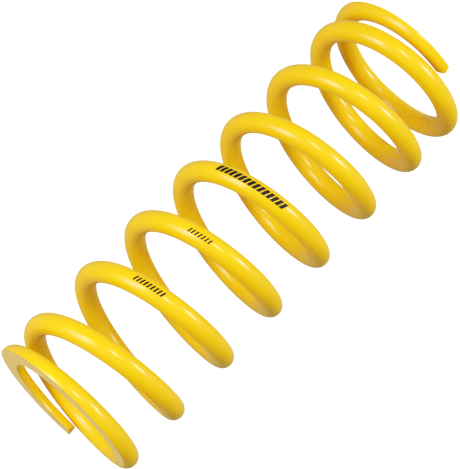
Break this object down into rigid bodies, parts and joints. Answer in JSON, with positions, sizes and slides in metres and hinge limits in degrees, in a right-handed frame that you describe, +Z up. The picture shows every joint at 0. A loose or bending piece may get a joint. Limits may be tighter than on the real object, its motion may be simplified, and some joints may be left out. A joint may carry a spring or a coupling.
{
  "type": "coil compression spring",
  "caption": "Round-wire helical compression spring for a shock absorber, closed and ground ends, powder coated.",
  "frame": {"origin": "on the spring's axis, at the middle of the lower ground face", "axes": "+Z up along the coil axis, from the lower ground face to the upper one; +X through the start of the first active coil"},
  "size_m": [0.0846, 0.0846, 0.25],
  "materials": {
    "powder_coat": "glossy yellow powder coat, worn to bare steel on the ground faces"
  },
  "bodies": {
    "lower_end": {"lower_end_coil": "powder_coat"},
    "wire_1_quarter_1": {"coil_1_quarter_1": "powder_coat"},
    "wire_1_quarter_2": {"coil_1_quarter_2": "powder_coat"},
    "wire_1_quarter_3": {"coil_1_quarter_3": "powder_coat"},
    "wire_1_quarter_4": {"coil_1_quarter_4": "powder_coat"},
    "wire_2_quarter_1": {"coil_2_quarter_1": "powder_coat"},
    "wire_2_quarter_2": {"coil_2_quarter_2": "powder_coat"},
    "wire_2_quarter_3": {"coil_2_quarter_3": "powder_coat"},
    "wire_2_quarter_4": {"coil_2_quarter_4": "powder_coat"},
    "wire_3_quarter_1": {"coil_3_quarter_1": "powder_coat"},
    "wire_3_quarter_2": {"coil_3_quarter_2": "powder_coat"},
    "wire_3_quarter_3": {"coil_3_quarter_3": "powder_coat"},
    "wire_3_quarter_4": {"coil_3_quarter_4": "powder_coat"},
    "wire_4_quarter_1": {"coil_4_quarter_1": "powder_coat"},
    "wire_4_quarter_2": {"coil_4_quarter_2": "powder_coat"},
    "wire_4_quarter_3": {"coil_4_quarter_3": "powder_coat"},
    "wire_4_quarter_4": {"coil_4_quarter_4": "powder_coat"},
    "wire_5_quarter_1": {"coil_5_quarter_1": "powder_coat"},
    "wire_5_quarter_2": {"coil_5_quarter_2": "powder_coat"},
    "wire_5_quarter_3": {"coil_5_quarter_3": "powder_coat"},
    "wire_5_quarter_4": {"coil_5_quarter_4": "powder_coat"},
    "wire_6_quarter_1": {"coil_6_quarter_1": "powder_coat"},
    "wire_6_quarter_2": {"coil_6_quarter_2": "powder_coat"},
    "wire_6_quarter_3": {"coil_6_quarter_3": "powder_coat"},
    "wire_6_quarter_4": {"coil_6_quarter_4": "powder_coat"},
    "wire_7_quarter_1": {"coil_7_quarter_1": "powder_coat"},
    "wire_7_quarter_2": {"coil_7_quarter_2": "powder_coat"},
    "upper_end": {"upper_end_coil": "powder_coat"}
  },
  "joints": [
    {"name": "compression", "type": "slide", "parent": "lower_end", "child": "upper_end", "axis": [0, 0, 1], "range_m": [-0.11, 0], "stiffness_N_per_m": 46000},
    {"name": "flex_1_quarter_1", "type": "slide", "parent": "lower_end", "child": "wire_1_quarter_1", "axis": [0, 0, 1], "range_m": [-0.0003, 0]},
    {"name": "flex_1_quarter_2", "type": "slide", "parent": "lower_end", "child": "wire_1_quarter_2", "axis": [0, 0, 1], "range_m": [-0.00259, 0]},
    {"name": "flex_1_quarter_3", "type": "slide", "parent": "lower_end", "child": "wire_1_quarter_3", "axis": [0, 0, 1], "range_m": [-0.00689, 0]},
    {"name": "flex_1_quarter_4", "type": "slide", "parent": "lower_end", "child": "wire_1_quarter_4", "axis": [0, 0, 1], "range_m": [-0.01147, 0]},
    {"name": "flex_2_quarter_1", "type": "slide", "parent": "lower_end", "child": "wire_2_quarter_1", "axis": [0, 0, 1], "range_m": [-0.01606, 0]},
    {"name": "flex_2_quarter_2", "type": "slide", "parent": "lower_end", "child": "wire_2_quarter_2", "axis": [0, 0, 1], "range_m": [-0.02064, 0]},
    {"name": "flex_2_quarter_3", "type": "slide", "parent": "lower_end", "child": "wire_2_quarter_3", "axis": [0, 0, 1], "range_m": [-0.02522, 0]},
    {"name": "flex_2_quarter_4", "type": "slide", "parent": "lower_end", "child": "wire_2_quarter_4", "axis": [0, 0, 1], "range_m": [-0.02981, 0]},
    {"name": "flex_3_quarter_1", "type": "slide", "parent": "lower_end", "child": "wire_3_quarter_1", "axis": [0, 0, 1], "range_m": [-0.03439, 0]},
    {"name": "flex_3_quarter_2", "type": "slide", "parent": "lower_end", "child": "wire_3_quarter_2", "axis": [0, 0, 1], "range_m": [-0.03897, 0]},
    {"name": "flex_3_quarter_3", "type": "slide", "parent": "lower_end", "child": "wire_3_quarter_3", "axis": [0, 0, 1], "range_m": [-0.04356, 0]},
    {"name": "flex_3_quarter_4", "type": "slide", "parent": "lower_end", "child": "wire_3_quarter_4", "axis": [0, 0, 1], "range_m": [-0.04814, 0]},
    {"name": "flex_4_quarter_1", "type": "slide", "parent": "lower_end", "child": "wire_4_quarter_1", "axis": [0, 0, 1], "range_m": [-0.05272, 0]},
    {"name": "flex_4_quarter_2", "type": "slide", "parent": "lower_end", "child": "wire_4_quarter_2", "axis": [0, 0, 1], "range_m": [-0.05731, 0]},
    {"name": "flex_4_quarter_3", "type": "slide", "parent": "lower_end", "child": "wire_4_quarter_3", "axis": [0, 0, 1], "range_m": [-0.06189, 0]},
    {"name": "flex_4_quarter_4", "type": "slide", "parent": "lower_end", "child": "wire_4_quarter_4", "axis": [0, 0, 1], "range_m": [-0.06647, 0]},
    {"name": "flex_5_quarter_1", "type": "slide", "parent": "lower_end", "child": "wire_5_quarter_1", "axis": [0, 0, 1], "range_m": [-0.07106, 0]},
    {"name": "flex_5_quarter_2", "type": "slide", "parent": "lower_end", "child": "wire_5_quarter_2", "axis": [0, 0, 1], "range_m": [-0.07564, 0]},
    {"name": "flex_5_quarter_3", "type": "slide", "parent": "lower_end", "child": "wire_5_quarter_3", "axis": [0, 0, 1], "range_m": [-0.08022, 0]},
    {"name": "flex_5_quarter_4", "type": "slide", "parent": "lower_end", "child": "wire_5_quarter_4", "axis": [0, 0, 1], "range_m": [-0.08481, 0]},
    {"name": "flex_6_quarter_1", "type": "slide", "parent": "lower_end", "child": "wire_6_quarter_1", "axis": [0, 0, 1], "range_m": [-0.08939, 0]},
    {"name": "flex_6_quarter_2", "type": "slide", "parent": "lower_end", "child": "wire_6_quarter_2", "axis": [0, 0, 1], "range_m": [-0.09397, 0]},
    {"name": "flex_6_quarter_3", "type": "slide", "parent": "lower_end", "child": "wire_6_quarter_3", "axis": [0, 0, 1], "range_m": [-0.09856, 0]},
    {"name": "flex_6_quarter_4", "type": "slide", "parent": "lower_end", "child": "wire_6_quarter_4", "axis": [0, 0, 1], "range_m": [-0.10314, 0]},
    {"name": "flex_7_quarter_1", "type": "slide", "parent": "lower_end", "child": "wire_7_quarter_1", "axis": [0, 0, 1], "range_m": [-0.10744, 0]},
    {"name": "flex_7_quarter_2", "type": "slide", "parent": "lower_end", "child": "wire_7_quarter_2", "axis": [0, 0, 1], "range_m": [-0.10973, 0]}
  ],
  "couplings": [
    {"joint": "flex_1_quarter_1", "follows": "compression", "ratio": 0.002604},
    {"joint": "flex_1_quarter_2", "follows": "compression", "ratio": 0.023438},
    {"joint": "flex_1_quarter_3", "follows": "compression", "ratio": 0.0625},
    {"joint": "flex_1_quarter_4", "follows": "compression", "ratio": 0.10417},
    {"joint": "flex_2_quarter_1", "follows": "compression", "ratio": 0.14583},
    {"joint": "flex_2_quarter_2", "follows": "compression", "ratio": 0.1875},
    {"joint": "flex_2_quarter_3", "follows": "compression", "ratio": 0.22917},
    {"joint": "flex_2_quarter_4", "follows": "compression", "ratio": 0.27083},
    {"joint": "flex_3_quarter_1", "follows": "compression", "ratio": 0.3125},
    {"joint": "flex_3_quarter_2", "follows": "compression", "ratio": 0.35417},
    {"joint": "flex_3_quarter_3", "follows": "compression", "ratio": 0.39583},
    {"joint": "flex_3_quarter_4", "follows": "compression", "ratio": 0.4375},
    {"joint": "flex_4_quarter_1", "follows": "compression", "ratio": 0.47917},
    {"joint": "flex_4_quarter_2", "follows": "compression", "ratio": 0.52083},
    {"joint": "flex_4_quarter_3", "follows": "compression", "ratio": 0.5625},
    {"joint": "flex_4_quarter_4", "follows": "compression", "ratio": 0.60417},
    {"joint": "flex_5_quarter_1", "follows": "compression", "ratio": 0.64583},
    {"joint": "flex_5_quarter_2", "follows": "compression", "ratio": 0.6875},
    {"joint": "flex_5_quarter_3", "follows": "compression", "ratio": 0.72917},
    {"joint": "flex_5_quarter_4", "follows": "compression", "ratio": 0.77083},
    {"joint": "flex_6_quarter_1", "follows": "compression", "ratio": 0.8125},
    {"joint": "flex_6_quarter_2", "follows": "compression", "ratio": 0.85417},
    {"joint": "flex_6_quarter_3", "follows": "compression", "ratio": 0.89583},
    {"joint": "flex_6_quarter_4", "follows": "compression", "ratio": 0.9375},
    {"joint": "flex_7_quarter_1", "follows": "compression", "ratio": 0.97656},
    {"joint": "flex_7_quarter_2", "follows": "compression", "ratio": 0.9974}
  ]
}
